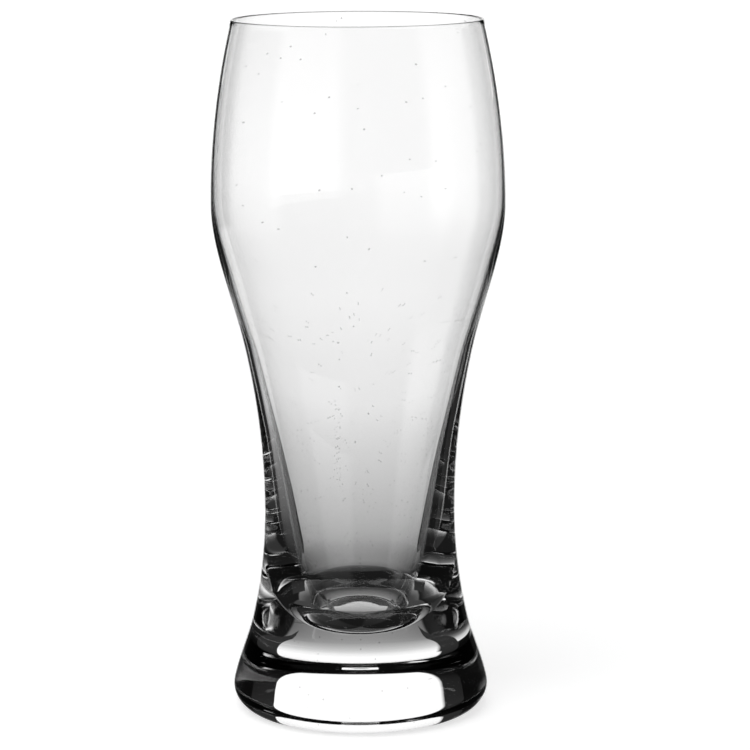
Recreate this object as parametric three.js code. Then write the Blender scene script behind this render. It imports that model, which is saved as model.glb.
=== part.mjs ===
// A clear beer glass: a blown bowl seated on a heavy solid foot, the same glass throughout.
// Millimetres, +Z up. The origin is the centre of the flat underside, on the glass's axis.
import * as THREE from "three";

// Foot: the flat it stands on, its rounded lower edge and the seat that carries the bowl
const contactRadius = 32.9;
const edgeRadius = 37.05;
const edgeHeight = 7.8;
const edgeSlope = -0.22; // radius gained per millimetre of height, as are all slopes here
const edgeLowerPull = 0.6; // how far the rounding hugs the table before it lifts
const edgeUpperPull = 5.2; // how far it follows the flare down before it turns in
const footHeight = 24; // where the foot's outer wall meets the bowl's
const dishDepth = 10; // how far the seat sinks from there to the axis

// Outer wall stations, each one's rise counted from the station below it
const ankleRise = 18.8;
const ankleRadius = 31.3;
const ankleSlope = -0.227;
const waistRise = 32.3;
const waistRadius = 27.7;
const shoulderRise = 49.5;
const shoulderRadius = 33.5;
const shoulderSlope = 0.233;
const bulgeRise = 39.3;
const bulgeRadius = 42.25;
const rimRise = 52.3;
const rimRadius = 35.9;
const rimSlope = -0.239;

// Glass thickness, measured level: a thin blown wall that swells into the solid base
const rimWall = 0.8;
const bulgeWall = 0.9;
const upperWall = 1.7; // halfway between bulge and shoulder
const shoulderWall = 2.1;
const lowerWall = 3.25; // halfway between shoulder and waist
const waistWall = 5.9;
const stemWall = 9.1; // halfway between waist and ankle
const heelWall = 13; // where the floor of the hollow begins to curve up
const bottomThickness = 8; // glass between the hollow's floor and the seat, on the axis
const heelRise = 10; // height over which the floor of the hollow curves up into its wall
const floorFlatness = 0.56; // 1 gives an ellipse; less spreads the flat middle of the floor
const floorTaper = 1.88; // 1 gives an ellipse; more leans the sides of the floor inwards

// Facets
const turnSegments = 64;
const wallStep = 8; // tallest facet on the walls
const edgeSteps = 8;
const seatSteps = 6;
const floorSteps = 10;
const rimSteps = 6;
const clearGlass = { color: 0xf4f8f7, roughness: 0.02, metalness: 0, transparent: true, opacity: 0.35 };

const ankleHeight = edgeHeight + ankleRise;
const waistHeight = ankleHeight + waistRise;
const shoulderHeight = waistHeight + shoulderRise;
const bulgeHeight = shoulderHeight + bulgeRise;
const rimHeight = bulgeHeight + rimRise;
const rimBead = rimWall / 2;
const beadHeight = rimHeight - rimBead; // where the walls end and the rounding of the rim begins
const seatHeight = footHeight - dishDepth; // lowest point of the seat, on the axis
const floorHeight = seatHeight + bottomThickness;
const heelHeight = floorHeight + heelRise;

const outerStations = [
  { z: edgeHeight, value: edgeRadius, slope: edgeSlope },
  { z: ankleHeight, value: ankleRadius, slope: ankleSlope },
  { z: waistHeight, value: waistRadius, slope: 0 },
  { z: shoulderHeight, value: shoulderRadius, slope: shoulderSlope },
  { z: bulgeHeight, value: bulgeRadius, slope: 0 },
  { z: rimHeight, value: rimRadius, slope: rimSlope },
];
const midway = (low, high) => (low + high) / 2;
const wallStations = withSlopes([
  { z: heelHeight, value: heelWall },
  { z: midway(ankleHeight, waistHeight), value: stemWall },
  { z: waistHeight, value: waistWall },
  { z: midway(waistHeight, shoulderHeight), value: lowerWall },
  { z: shoulderHeight, value: shoulderWall },
  { z: midway(shoulderHeight, bulgeHeight), value: upperWall },
  { z: bulgeHeight, value: bulgeWall },
  { z: rimHeight, value: rimWall },
]);

// Each station leans along the line between its two neighbours
function withSlopes(stations) {
  return stations.map((station, i) => {
    const below = stations[Math.max(i - 1, 0)];
    const above = stations[Math.min(i + 1, stations.length - 1)];
    return { ...station, slope: (above.value - below.value) / (above.z - below.z) };
  });
}

// Smooth cubic through stations that each give a value and a slope
function smoothValue(stations, z) {
  const last = stations.length - 2;
  const found = stations.findIndex((station, i) => i <= last && z <= stations[i + 1].z);
  const index = found < 0 ? last : found;
  const low = stations[index];
  const high = stations[index + 1];
  const span = high.z - low.z;
  const t = (z - low.z) / span;
  const fromLow = low.value * (2 * t ** 3 - 3 * t ** 2 + 1) + low.slope * span * (t ** 3 - 2 * t ** 2 + t);
  const fromHigh = high.value * (3 * t ** 2 - 2 * t ** 3) + high.slope * span * (t ** 3 - t ** 2);
  return fromLow + fromHigh;
}

const outerRadius = (z) => smoothValue(outerStations, z);
const innerRadius = (z) => outerRadius(z) - smoothValue(wallStations, z);

// Points of a wall between two heights, upwards, with one on each station that it passes
function wallPoints(radiusAt, lowest, highest) {
  const passed = outerStations.map((station) => station.z).filter((z) => z > lowest && z < highest);
  const levels = [lowest, ...passed, highest];
  const points = [new THREE.Vector2(radiusAt(lowest), lowest)];
  for (let i = 1; i < levels.length; i++) {
    const rise = levels[i] - levels[i - 1];
    const steps = Math.ceil(rise / wallStep);
    for (let step = 1; step <= steps; step++) {
      const z = levels[i - 1] + (rise * step) / steps;
      points.push(new THREE.Vector2(radiusAt(z), z));
    }
  }
  return points;
}

// The seat that bowl and foot share: a shallow spherical dish from the axis out to the outer wall
function seatPoints() {
  const reach = outerRadius(footHeight);
  const dishRadius = (reach ** 2 + dishDepth ** 2) / (2 * dishDepth);
  const sweep = Math.asin(reach / dishRadius);
  const points = [];
  for (let step = 0; step < seatSteps; step++) {
    const angle = (sweep * step) / seatSteps;
    const rise = dishRadius * (1 - Math.cos(angle));
    points.push(new THREE.Vector2(dishRadius * Math.sin(angle), seatHeight + rise));
  }
  points.push(new THREE.Vector2(reach, footHeight));
  return points;
}

// The rounded lower edge, from the flat underside out and up into the flare
function edgePoints() {
  const rounding = new THREE.CubicBezierCurve(
    new THREE.Vector2(contactRadius, 0),
    new THREE.Vector2(contactRadius + edgeLowerPull, 0),
    new THREE.Vector2(edgeRadius - edgeUpperPull * edgeSlope, edgeHeight - edgeUpperPull),
    new THREE.Vector2(edgeRadius, edgeHeight),
  );
  return rounding.getPoints(edgeSteps);
}

// The fire-polished rim: a half round over the wall, from its outer face to its inner one
function rimPoints() {
  const outerEdge = outerRadius(beadHeight);
  const innerEdge = innerRadius(beadHeight);
  const centre = (outerEdge + innerEdge) / 2;
  const reach = (outerEdge - innerEdge) / 2;
  const points = [];
  for (let step = 1; step < rimSteps; step++) {
    const angle = (Math.PI * step) / rimSteps;
    const radius = centre + reach * Math.cos(angle);
    points.push(new THREE.Vector2(radius, beadHeight + rimBead * Math.sin(angle)));
  }
  return points;
}

// The floor of the hollow, from the inner wall in to the axis: nearly flat in the middle, with
// sides that lean in
function floorPoints() {
  const reach = innerRadius(heelHeight);
  const points = [];
  for (let step = 1; step < floorSteps; step++) {
    const angle = (Math.PI / 2) * (step / floorSteps);
    const radius = reach * Math.cos(angle) ** floorFlatness;
    const drop = heelRise * Math.sin(angle) ** floorTaper;
    points.push(new THREE.Vector2(radius, heelHeight - drop));
  }
  points.push(new THREE.Vector2(0, floorHeight));
  return points;
}

function turned(name, profile) {
  const geometry = new THREE.LatheGeometry(profile, turnSegments);
  geometry.rotateX(Math.PI / 2);
  const mesh = new THREE.Mesh(geometry, new THREE.MeshStandardMaterial(clearGlass));
  mesh.name = name;
  return mesh;
}

// Foot: out across the flat underside, round the lower edge, up the flare and back in along the seat
function makeFoot() {
  const axisPoint = new THREE.Vector2(0, 0);
  const flare = wallPoints(outerRadius, edgeHeight, footHeight).slice(1, -1);
  return turned("foot", [axisPoint, ...edgePoints(), ...flare, ...seatPoints().reverse()]);
}

// Bowl: out along the seat, up the outer wall, over the rim and down the hollow to its floor
function makeBowl() {
  const outside = wallPoints(outerRadius, footHeight, beadHeight).slice(1);
  const inside = wallPoints(innerRadius, heelHeight, beadHeight).reverse();
  return turned("bowl", [...seatPoints(), ...outside, ...rimPoints(), ...inside, ...floorPoints()]);
}

const beerGlass = new THREE.Group();
beerGlass.add(makeFoot(), makeBowl());

export default beerGlass;
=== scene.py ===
import math
import bpy
from mathutils import Matrix, Vector


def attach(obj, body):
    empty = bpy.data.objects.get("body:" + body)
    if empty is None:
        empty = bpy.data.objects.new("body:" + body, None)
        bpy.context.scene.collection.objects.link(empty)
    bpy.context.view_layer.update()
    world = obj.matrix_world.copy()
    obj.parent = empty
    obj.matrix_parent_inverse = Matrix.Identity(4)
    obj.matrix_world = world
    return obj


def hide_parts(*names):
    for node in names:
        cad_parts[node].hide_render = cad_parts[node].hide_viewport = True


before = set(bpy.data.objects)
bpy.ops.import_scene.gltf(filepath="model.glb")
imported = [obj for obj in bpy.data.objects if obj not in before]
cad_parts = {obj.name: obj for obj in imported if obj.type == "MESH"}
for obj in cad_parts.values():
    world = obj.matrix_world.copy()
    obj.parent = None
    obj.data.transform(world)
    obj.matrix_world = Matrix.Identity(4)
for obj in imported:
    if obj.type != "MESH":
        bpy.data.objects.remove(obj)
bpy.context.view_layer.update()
scene = bpy.context.scene
mm = 0.001
print("frame loaded:", sorted(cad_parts))


# sRGB hex, such as a colour picker gives, to the linear colour that nodes take
def linearColour(hexText):
    channels = [int(hexText[i:i + 2], 16) / 255 for i in (1, 3, 5)]
    linear = [c / 12.92 if c <= 0.04045 else ((c + 0.055) / 1.055) ** 2.4 for c in channels]
    return (*linear, 1)


# One node with its settings and links. A key that is a number or an input's name sets that input, any
# other sets the node itself. A link comes from a socket, or from the first output of a node. A ramp
# has (place, hex) stops too.
def addNode(tree, kind, settings=None, links=None, stops=None):
    node = tree.nodes.new(kind)
    for key, value in (settings or {}).items():
        if isinstance(key, int) or key in node.inputs:
            node.inputs[key].default_value = value
        else:
            setattr(node, key, value)
    for key, source in (links or {}).items():
        socket = source.outputs[0] if isinstance(source, bpy.types.Node) else source
        tree.links.new(socket, node.inputs[key])
    if stops:
        elements = node.color_ramp.elements
        while len(elements) < len(stops):
            elements.new(0.5)
        for element, (place, hexText) in zip(elements, stops):
            element.position = place
            element.color = linearColour(hexText)
    return node


def deselectAll():
    for obj in bpy.context.selected_objects:
        obj.select_set(False)
    bpy.context.view_layer.objects.active = None


# Camera: the photograph's view, slightly above the rim and looking down at the glass
cameraSetup = {
    "distance": 850 * mm,
    "height": 253 * mm,
    "pitch": 10.37,  # degrees, downwards
    "yaw": 0.31,
    "roll": 0.25,
    "lens": 143.5,
    "sensor": 36,
    "farthest": 100,
}


def makeCamera(setup):
    data = bpy.data.cameras.new("camera")
    camera = bpy.data.objects.new("camera", data)
    scene.collection.objects.link(camera)
    data.sensor_width = setup["sensor"]
    data.lens = setup["lens"]
    data.clip_end = setup["farthest"]
    turn = Matrix.Rotation(math.radians(-setup["yaw"]), 4, "Z")
    tilt = Matrix.Rotation(math.radians(90 - setup["pitch"]), 4, "X")
    roll = Matrix.Rotation(math.radians(-setup["roll"]), 4, "Z")
    place = Matrix.Translation((0, -setup["distance"], setup["height"]))
    camera.matrix_world = place @ turn @ tilt @ roll
    scene.camera = camera
    scene.view_settings.view_transform = "Standard"


makeCamera(cameraSetup)
print("camera placed")


# Glass: half section in millimetres, heights from the table up
glassShape = {
    "contactRadius": 32.9,
    "edge": (37.05, 7.8, -0.22),  # radius, height, slope where the rounded lower edge ends
    "edgePulls": (0.6, 5.2),  # how far the rounding keeps to the table, and to the flare
    "outer": [  # radius, height, slope
        (31.3, 26.6, -0.227), (27.7, 58.9, 0),
        (33.5, 108.4, 0.233), (42.25, 147.7, 0), (35.9, 200, -0.239),
    ],
    "walls": [  # height, thickness
        (42.75, 9.1), (58.9, 5.9), (83.65, 3.25),
        (108.4, 2.1), (128.05, 1.7), (147.7, 0.9), (200, 0.8),
    ],
    "heelWall": 13,  # where the floor of the hollow begins to curve up
    "floorHeight": 22,
    "heelRise": 10,
    "floorFlatness": 0.56,  # 1 gives an ellipse; less spreads the flat middle of the floor
    "floorTaper": 1.88,  # 1 gives an ellipse; more leans its sides inwards
    "rimWall": 0.8,
    "flatInset": 0.3,  # a ring this far inside the flat's edge keeps it flat when shaded smooth
    "step": 1.6,  # length of a facet along the walls
    "edgeSteps": 16,
    "rimSteps": 10,
    "floorSteps": 28,
    "turnSteps": 256,
    "mergeWithin": 0.004,
    "smoothAngle": 40,
}


# Smooth cubic through (value, height, slope) stations
def smoothValue(stations, z):
    low, high = stations[-2:]
    for a, b in zip(stations, stations[1:]):
        if z <= b[1]:
            low, high = a, b
            break
    span = high[1] - low[1]
    t = (z - low[1]) / span
    fromLow = low[0] * (2 * t ** 3 - 3 * t ** 2 + 1) + low[2] * span * (t ** 3 - 2 * t ** 2 + t)
    fromHigh = high[0] * (3 * t ** 2 - 2 * t ** 3) + high[2] * span * (t ** 3 - t ** 2)
    return fromLow + fromHigh


# Half section from the middle of the underside out, up the outside, over the rim and down the hollow
def glassSection(shape):
    outer = [shape["edge"]] + shape["outer"]
    heel = shape["floorHeight"] + shape["heelRise"]
    plain = [(heel, shape["heelWall"])] + shape["walls"]
    walls = []
    for i, (z, wall) in enumerate(plain):
        below = plain[max(i - 1, 0)]
        above = plain[min(i + 1, len(plain) - 1)]
        walls.append((wall, z, (above[1] - below[1]) / (above[0] - below[0])))

    def outerRadius(z):
        return smoothValue(outer, z)

    def innerRadius(z):
        return outerRadius(z) - smoothValue(walls, z)

    def wallPoints(radiusAt, start, end):
        count = math.ceil(abs(end - start) / shape["step"])
        heights = [start + (end - start) * i / count for i in range(count + 1)]
        return [(radiusAt(z), z) for z in heights]

    # The flat underside and the rounded lower edge
    section = [(0, 0), (shape["contactRadius"] - shape["flatInset"], 0)]
    edgeRadius, edgeHeight, edgeSlope = shape["edge"]
    lowerPull, upperPull = shape["edgePulls"]
    pulls = [
        Vector((shape["contactRadius"], 0)),
        Vector((shape["contactRadius"] + lowerPull, 0)),
        Vector((edgeRadius - upperPull * edgeSlope, edgeHeight - upperPull)),
        Vector((edgeRadius, edgeHeight)),
    ]
    for i in range(shape["edgeSteps"]):
        t = i / shape["edgeSteps"]
        weights = [(1 - t) ** 3, 3 * t * (1 - t) ** 2, 3 * t ** 2 * (1 - t), t ** 3]
        section.append(tuple(sum((w * p for w, p in zip(weights, pulls)), Vector((0, 0)))))

    # The outer wall, the half round of the rim and the inner wall
    bead = shape["rimWall"] / 2
    beadHeight = shape["outer"][-1][1] - bead
    section += wallPoints(outerRadius, edgeHeight, beadHeight)
    outerEdge = outerRadius(beadHeight)
    innerEdge = innerRadius(beadHeight)
    for i in range(1, shape["rimSteps"]):
        angle = math.pi * i / shape["rimSteps"]
        radius = (outerEdge + innerEdge) / 2 + (outerEdge - innerEdge) / 2 * math.cos(angle)
        section.append((radius, beadHeight + bead * math.sin(angle)))
    section += wallPoints(innerRadius, beadHeight, heel)

    # The floor of the hollow
    reach = innerRadius(heel)
    for i in range(1, shape["floorSteps"]):
        angle = math.pi / 2 * i / shape["floorSteps"]
        radius = reach * math.cos(angle) ** shape["floorFlatness"]
        drop = shape["heelRise"] * math.sin(angle) ** shape["floorTaper"]
        section.append((radius, heel - drop))
    section.append((0, shape["floorHeight"]))
    return section


# The section is drawn by extruding one vertex from point to point, then spun about the axis
def makeGlass(shape):
    section = glassSection(shape)
    deselectAll()
    bpy.ops.mesh.primitive_plane_add(size=mm, location=(0, 0, 0))
    glass = bpy.context.active_object
    glass.name = "beerGlass"
    bpy.ops.object.mode_set(mode="EDIT")
    bpy.ops.mesh.select_all(action="SELECT")
    bpy.ops.mesh.merge(type="CENTER")
    for (r0, z0), (r1, z1) in zip(section, section[1:]):
        move = ((r1 - r0) * mm, 0, (z1 - z0) * mm)
        bpy.ops.mesh.extrude_region_move(TRANSFORM_OT_translate={"value": move})
    bpy.ops.mesh.select_all(action="SELECT")
    bpy.ops.mesh.spin(steps=shape["turnSteps"], angle=2 * math.pi, center=(0, 0, 0), axis=(0, 0, 1))
    bpy.ops.mesh.select_all(action="SELECT")
    bpy.ops.mesh.remove_doubles(threshold=shape["mergeWithin"] * mm)
    bpy.ops.mesh.normals_make_consistent(inside=False)
    bpy.ops.object.mode_set(mode="OBJECT")
    bpy.ops.object.shade_smooth_by_angle(angle=math.radians(shape["smoothAngle"]))
    return glass


glassDetail = {
    "ior": 1.52,
    "tone": "#fefefe",
    "wallRoughness": 0.0,
    "undersideRoughness": 0.02,
    "undersideBelow": 0.05 * mm,
    "waveSize": 24 * mm,
    "waveDepth": 0.012 * mm,
    "waveLevels": 1,  # of ever finer waves
    "speckTone": "#c6c6c6",
    "speckSpacing": 1.4 * mm,
    "speckRadius": (0.1, 0.2),  # of the smallest and the largest, as shares of the spacing
    "speckShare": 0.04,  # share of the cells that have one
    "upperShare": 0.008,  # the same in the upper bowl
    "upperFrom": 118 * mm,
    "wrapRadius": 33 * mm,  # where the specks are as wide as high
    "streak": (-6 * mm, 0.8 * mm),  # dried run of drops down the front: its place and half its width
    "streakHeights": (72 * mm, 101 * mm),
    "streakShare": 0.8,
}


# Clear soda-lime glass, blown and fire polished: sharp reflections and no colour to the eye, walls that
# bend straight lines very slightly, and a few dust specks and dried drops on them
def makeGlassMaterial(detail):
    material = bpy.data.materials.new("sodaLimeGlass")
    material.use_nodes = True
    tree = material.node_tree
    shader = tree.nodes["Principled BSDF"]
    shader.inputs["IOR"].default_value = detail["ior"]
    shader.inputs["Transmission Weight"].default_value = 1
    coordinates = addNode(tree, "ShaderNodeTexCoord")
    place = coordinates.outputs["Object"]
    x, y, z = addNode(tree, "ShaderNodeSeparateXYZ", links={0: place}).outputs
    normal = addNode(tree, "ShaderNodeSeparateXYZ", links={0: coordinates.outputs["Normal"]})

    # Specks: a dot in some of the cells of a pattern that is wrapped round the glass. The inner and the
    # outer face of a wall take different cells, so that no speck goes through it.
    facing = addNode(tree, "ShaderNodeMath", {"operation": "LESS_THAN", 1: 0}, {0: normal.outputs["Y"]})
    backward = addNode(tree, "ShaderNodeMath", {"operation": "MULTIPLY", 1: -1}, {0: y})
    bearing = addNode(tree, "ShaderNodeMath", {"operation": "ARCTAN2"}, {0: x, 1: backward})
    wrap = detail["wrapRadius"]
    around = addNode(tree, "ShaderNodeMath", {"operation": "MULTIPLY", 1: wrap}, {0: bearing})
    upward = addNode(tree, "ShaderNodeMath", {"operation": "ADD"}, {0: z, 1: facing})
    wrapped = addNode(tree, "ShaderNodeCombineXYZ", links={0: around, 1: upward})
    cells = addNode(tree, "ShaderNodeTexVoronoi", {
        "voronoi_dimensions": "2D",
        "Scale": 1 / detail["speckSpacing"],
    }, {"Vector": wrapped})
    drawn = addNode(tree, "ShaderNodeSeparateColor", links={0: cells.outputs["Color"]})
    radius = addNode(tree, "ShaderNodeMapRange", {
        "To Min": detail["speckRadius"][0],
        "To Max": detail["speckRadius"][1],
    }, {"Value": drawn.outputs["Green"]})

    # The streak is on the outside of the front wall, where all of these hold
    streakPlace, streakHalf = detail["streak"]
    streakBottom, streakTop = detail["streakHeights"]
    aside = addNode(tree, "ShaderNodeMath", {"operation": "SUBTRACT", 1: streakPlace}, {0: x})
    distance = addNode(tree, "ShaderNodeMath", {"operation": "ABSOLUTE"}, {0: aside})
    tests = [
        (y, "LESS_THAN", 0),
        (distance, "LESS_THAN", streakHalf),
        (z, "GREATER_THAN", streakBottom),
        (z, "LESS_THAN", streakTop),
    ]
    streak = facing
    for source, operation, edge in tests:
        holds = addNode(tree, "ShaderNodeMath", {"operation": operation, 1: edge}, {0: source})
        streak = addNode(tree, "ShaderNodeMath", {"operation": "MULTIPLY"}, {0: streak, 1: holds})

    # Which cells have a speck, and the tone that it gives the glass
    low = addNode(tree, "ShaderNodeMath", {"operation": "LESS_THAN", 1: detail["upperFrom"]}, {0: z})
    share = addNode(tree, "ShaderNodeMix", {
        "data_type": "FLOAT",
        2: detail["upperShare"],
        3: detail["speckShare"],
    }, {0: low})
    share = addNode(tree, "ShaderNodeMix", {
        "data_type": "FLOAT",
        3: detail["streakShare"],
    }, {0: streak, 2: share})
    chosen = addNode(tree, "ShaderNodeMath", {"operation": "LESS_THAN"}, {0: drawn, 1: share})
    inside = addNode(tree, "ShaderNodeMath", {"operation": "LESS_THAN"}, {
        0: cells.outputs["Distance"],
        1: radius,
    })
    speck = addNode(tree, "ShaderNodeMath", {"operation": "MULTIPLY"}, {0: inside, 1: chosen})
    tone = addNode(tree, "ShaderNodeMix", {
        "data_type": "RGBA",
        6: linearColour(detail["tone"]),
        7: linearColour(detail["speckTone"]),
    }, {0: speck})
    tree.links.new(tone.outputs[2], shader.inputs["Base Color"])

    # The ground and polished flat under the foot is a little less smooth than the blown walls
    edge = detail["undersideBelow"]
    underside = addNode(tree, "ShaderNodeMath", {"operation": "LESS_THAN", 1: edge}, {0: z})
    rough = addNode(tree, "ShaderNodeMix", {
        "data_type": "FLOAT",
        2: detail["wallRoughness"],
        3: detail["undersideRoughness"],
    }, {0: underside})
    tree.links.new(rough.outputs[0], shader.inputs["Roughness"])

    # Blown walls are never quite even
    waves = addNode(tree, "ShaderNodeTexNoise", {
        "Scale": 1 / detail["waveSize"],
        "Detail": detail["waveLevels"],
    }, {"Vector": place})
    bump = addNode(tree, "ShaderNodeBump", {
        "Strength": 1,
        "Distance": detail["waveDepth"],
    }, {"Height": waves})
    tree.links.new(bump.outputs[0], shader.inputs["Normal"])
    return material


glass = makeGlass(glassShape)
glass.data.materials.append(makeGlassMaterial(glassDetail))
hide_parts("bowl", "foot")
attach(glass, "root")
print("glass spun:", len(glass.data.polygons), "faces")


# Studio: a white table, and a broad white screen behind it with dark to both sides. What the glass
# itself shows, as in the photograph, is that screen, a floor well below the table that glows with
# painted light and painted shade, and a dark card at each side, painted shade for its edges. Angles are
# in degrees.
# A sector is its middle, to the right of straight behind, and half its width. The ones for views from
# other sides are seen through the glass, not mirrored on it.
studio = {
    "size": 60,  # metres, of the table and of the floor
    "glow": 1.19,  # a white that is still white after the losses of four glass faces
    "softEdge": 3,
    "sideSoftEdge": 14,  # of the sectors for other views
    "bounces": 12,  # light that is led further along the walls draws bright marks that real glass lacks
}


# How far a place or direction lies within a sector: 1 inside, 0 outside
def addSector(tree, x, y, sector, soft):
    middle, half = [math.radians(angle) for angle in sector]
    bearing = addNode(tree, "ShaderNodeMath", {"operation": "ARCTAN2"}, {0: x, 1: y})
    offset = addNode(tree, "ShaderNodeMath", {"operation": "SUBTRACT", 1: middle}, {0: bearing})
    away = addNode(tree, "ShaderNodeMath", {"operation": "ABSOLUTE"}, {0: offset})
    past = addNode(tree, "ShaderNodeMath", {"operation": "SUBTRACT", 1: half}, {0: away})
    return addNode(tree, "ShaderNodeMapRange", {
        "interpolation_type": "SMOOTHSTEP",
        "From Min": 0,
        "From Max": math.radians(soft),
        "To Min": 1,
        "To Max": 0,
    }, {"Value": past})


# How far a direction lies above an elevation: 0 below, 1 above
def addAbove(tree, z, elevation, soft):
    edge = math.radians(elevation)
    return addNode(tree, "ShaderNodeMapRange", {
        "interpolation_type": "SMOOTHSTEP",
        "From Min": math.sin(edge),
        "From Max": math.sin(edge + math.radians(soft)),
    }, {"Value": z})


def startMaterial(name):
    material = bpy.data.materials.new(name)
    material.use_nodes = True
    material.node_tree.nodes.clear()
    return material


# The table as the camera sees it: white, with the glass's soft shadow on it
tableSetup = {
    "drop": 0.2 * mm,  # keeps the table clear of the glass's flat underside
    "ownLight": 0.72,
    "paper": "#e7e7e7",
}


def makeTable(setup):
    deselectAll()
    bpy.ops.mesh.primitive_plane_add(size=studio["size"], location=(0, 0, -setup["drop"]))
    table = bpy.context.active_object
    table.name = "studioTable"
    material = startMaterial("whiteTable")
    tree = material.node_tree
    white = addNode(tree, "ShaderNodeEmission", {
        "Color": linearColour("#ffffff"),
        "Strength": setup["ownLight"],
    })
    paper = addNode(tree, "ShaderNodeBsdfDiffuse", {"Color": linearColour(setup["paper"])})
    both = addNode(tree, "ShaderNodeAddShader", links={0: white, 1: paper})
    addNode(tree, "ShaderNodeOutputMaterial", links={"Surface": both})
    table.data.materials.append(material)
    table.visible_transmission = False
    table.visible_glossy = False


# The floor as the glass shows it, glowing with painted light and painted shade: dark, but for white
# sheets that glow paler the farther they reach, so that near the glass they hold painted shade
floorSetup = {
    "drop": 150 * mm,
    "sheet": (2, 28),  # behind the glass
    "sideSheets": [(-90, 20), (135, 24)],  # for views from the side and the back
    "patch": (-48, 8),  # for a raised view from the front right
    "reach": 2.5,  # metres that each ramp of tones spans
    "tones": {  # metres from the glass, tone
        "plain": [
            (0.0, "#161616"), (0.28, "#181818"), (0.6, "#1c1c1c"), (1.0, "#161616"), (2.4, "#0c0c0c"),
        ],
        "patch": [
            (0.0, "#161616"), (0.2, "#282828"), (0.3, "#484848"), (0.42, "#808080"), (0.56, "#c8c8c8"),
            (0.95, "#ececec"), (1.1, "#161616"), (2.4, "#0c0c0c"),
        ],
        "sideSheets": [
            (0.0, "#1c1c1c"), (0.24, "#343434"), (0.4, "#686868"), (0.6, "#a0a0a0"), (0.8, "#cccccc"),
            (1.0, "#e6e6e6"), (2.4, "#fafafa"),
        ],
        "sheet": [
            (0.0, "#3c3c3c"), (0.16, "#404040"), (0.24, "#787878"), (0.33, "#a0a0a0"), (0.44, "#b4b4b4"),
            (0.72, "#d6d6d6"), (0.9, "#e6e6e6"), (1.5, "#f3f3f3"), (2.4, "#fafafa"),
        ],
    },
}


def makeFloor(setup):
    deselectAll()
    bpy.ops.mesh.primitive_plane_add(size=studio["size"], location=(0, 0, -setup["drop"]))
    floor = bpy.context.active_object
    floor.name = "paintedLightFloor"
    material = startMaterial("paintedLightFloorGlow")
    tree = material.node_tree
    place = addNode(tree, "ShaderNodeTexCoord").outputs["Object"]
    x, y = addNode(tree, "ShaderNodeSeparateXYZ", links={0: place}).outputs[:2]
    far = addNode(tree, "ShaderNodeVectorMath", {"operation": "LENGTH"}, {0: place}).outputs["Value"]
    share = addNode(tree, "ShaderNodeMath", {"operation": "DIVIDE", 1: setup["reach"]}, {0: far})
    ramps = {}
    for name, tones in setup["tones"].items():
        stops = [(metres / setup["reach"], tone) for metres, tone in tones]
        ramps[name] = addNode(tree, "ShaderNodeValToRGB", links={0: share}, stops=stops)

    # What covers the plain floor, from the lowest to the topmost
    through = addNode(tree, "ShaderNodeLightPath").outputs["Is Transmission Ray"]
    patch = addSector(tree, x, y, setup["patch"], studio["sideSoftEdge"])
    sides = [addSector(tree, x, y, sector, studio["sideSoftEdge"]) for sector in setup["sideSheets"]]
    side = addNode(tree, "ShaderNodeMath", {"operation": "MAXIMUM"}, {0: sides[0], 1: sides[1]})
    covers = {
        "patch": addNode(tree, "ShaderNodeMath", {"operation": "MULTIPLY"}, {0: through, 1: patch}),
        "sideSheets": addNode(tree, "ShaderNodeMath", {"operation": "MULTIPLY"}, {0: through, 1: side}),
        "sheet": addSector(tree, x, y, setup["sheet"], studio["softEdge"]),
    }
    tone = ramps["plain"]
    for name, cover in covers.items():
        links = {0: cover, 6: tone, 7: ramps[name]}
        tone = addNode(tree, "ShaderNodeMix", {"data_type": "RGBA"}, links).outputs[2]
    # The floor's painted light and shade: it glows though it is no lamp, and only the glass sees it
    glow = addNode(tree, "ShaderNodeEmission", {"Strength": studio["glow"]}, {"Color": tone})
    addNode(tree, "ShaderNodeOutputMaterial", links={"Surface": glow})
    floor.data.materials.append(material)
    floor.visible_camera = False
    floor.visible_diffuse = False
    floor.visible_shadow = False


# Dark cards behind the glass, to both sides of the view, which only the glass sees: painted shade that
# draws its edges dark. They glow a little, paler towards the bottom.
cardSetup = {
    "behind": 210 * mm,
    "thickness": 1 * mm,
    "ends": {"paintedShadeCardLeft": (-150 * mm, -94 * mm), "paintedShadeCardRight": (100 * mm, 185 * mm)},
    "heights": (-149 * mm, 260 * mm),
    "tones": [  # share of a card's height, tone
        (0.0, "#343434"), (0.36, "#303030"), (0.5, "#2c2c2c"), (0.66, "#141414"), (1.0, "#0c0c0c"),
    ],
}


def makeCards(setup):
    material = startMaterial("paintedShadeCard")
    tree = material.node_tree
    place = addNode(tree, "ShaderNodeTexCoord").outputs["Generated"]
    height = addNode(tree, "ShaderNodeSeparateXYZ", links={0: place}).outputs["Z"]
    tone = addNode(tree, "ShaderNodeValToRGB", links={0: height}, stops=setup["tones"])
    # The cards' painted shade: a faint glow, paler towards the bottom, though they are no lamp
    glow = addNode(tree, "ShaderNodeEmission", links={"Color": tone})
    addNode(tree, "ShaderNodeOutputMaterial", links={"Surface": glow})
    bottom, top = setup["heights"]
    for name, (left, right) in setup["ends"].items():
        deselectAll()
        middle = ((left + right) / 2, setup["behind"], (bottom + top) / 2)
        bpy.ops.mesh.primitive_cube_add(size=1, location=middle)
        card = bpy.context.active_object
        card.name = name
        card.scale = (right - left, setup["thickness"], top - bottom)
        bpy.ops.object.transform_apply(location=True, rotation=False, scale=True)
        card.data.materials.append(material)
        card.visible_camera = False
        card.visible_diffuse = False
        card.visible_shadow = False


# The room: white where the camera looks, and for the glass a white screen in a dark room
roomSetup = {
    "dark": "#0a0a0a",
    "screen": (3, 31),
    "screenTop": 43,
    "screenTone": "#fcfcfc",
    "sideScreen": (-90, 20),  # for views from the side
    "sideScreenTop": 2,
    "sideScreenTone": "#f4f4f4",
}


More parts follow.
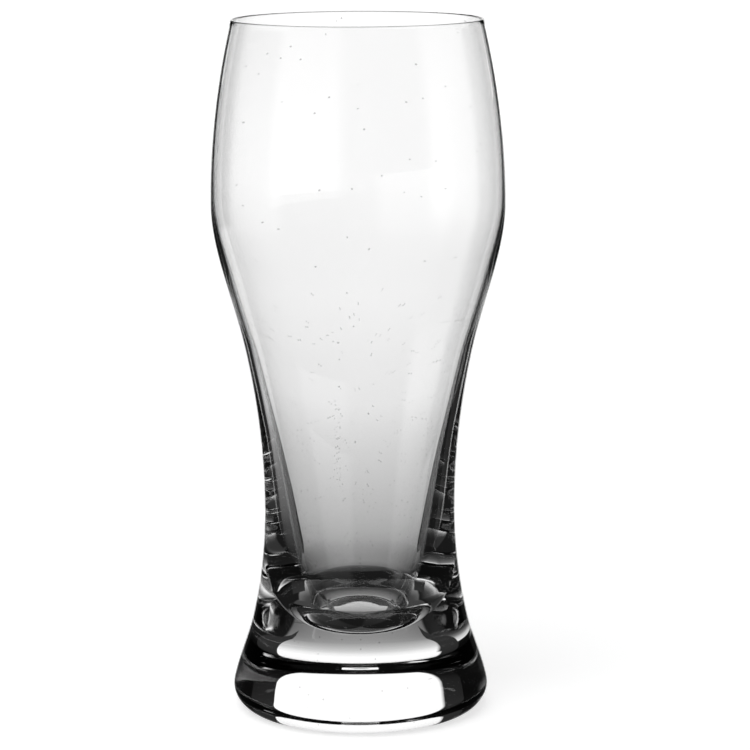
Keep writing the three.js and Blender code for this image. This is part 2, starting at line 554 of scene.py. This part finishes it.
def makeWorld(setup):
    world = bpy.data.worlds.new("studioWorld")
    scene.world = world
    world.use_nodes = True
    tree = world.node_tree
    tree.nodes.clear()
    direction = addNode(tree, "ShaderNodeTexCoord").outputs["Generated"]
    x, y, z = addNode(tree, "ShaderNodeSeparateXYZ", links={0: direction}).outputs

    # What covers the dark of the room, from the lowest to the topmost
    path = addNode(tree, "ShaderNodeLightPath")
    through = path.outputs["Is Transmission Ray"]
    side = addSector(tree, x, y, setup["sideScreen"], studio["sideSoftEdge"])
    side = addNode(tree, "ShaderNodeMath", {"operation": "MULTIPLY"}, {0: through, 1: side})
    covers = [
        (side, setup["sideScreenTone"]),
        (addAbove(tree, z, setup["sideScreenTop"], studio["sideSoftEdge"]), setup["dark"]),
        (addSector(tree, x, y, setup["screen"], studio["softEdge"]), setup["screenTone"]),
        (addAbove(tree, z, setup["screenTop"], studio["softEdge"]), setup["dark"]),
    ]
    tone = addNode(tree, "ShaderNodeRGB").outputs[0]
    tone.default_value = linearColour(setup["dark"])
    for cover, hexText in covers:
        settings = {"data_type": "RGBA", 7: linearColour(hexText)}
        tone = addNode(tree, "ShaderNodeMix", settings, {0: cover, 6: tone}).outputs[2]
    glow = addNode(tree, "ShaderNodeBackground", {"Strength": studio["glow"]}, {"Color": tone})
    white = addNode(tree, "ShaderNodeBackground", {"Color": linearColour("#ffffff"), "Strength": 1})
    direct = path.outputs["Is Camera Ray"]
    seen = addNode(tree, "ShaderNodeMixShader", links={0: direct, 1: glow, 2: white})
    addNode(tree, "ShaderNodeOutputWorld", links={"Surface": seen})


# Soft light from above and the left, which gives the glass its shadow on the table
sunSetup = {
    "strength": 1.2,
    "spread": 50,
    "tilt": (20, -14, 0),
}


def makeSun(setup):
    data = bpy.data.lights.new("softSun", "SUN")
    data.energy = setup["strength"]
    data.angle = math.radians(setup["spread"])
    lamp = bpy.data.objects.new("softSun", data)
    scene.collection.objects.link(lamp)
    lamp.rotation_euler = [math.radians(angle) for angle in setup["tilt"]]
    lamp.visible_glossy = False
    lamp.visible_transmission = False


makeTable(tableSetup)
makeFloor(floorSetup)
makeCards(cardSetup)
makeWorld(roomSetup)
makeSun(sunSetup)
scene.cycles.max_bounces = studio["bounces"]
scene.cycles.transmission_bounces = studio["bounces"]
scene.cycles.glossy_bounces = studio["bounces"]
print("studio lit")
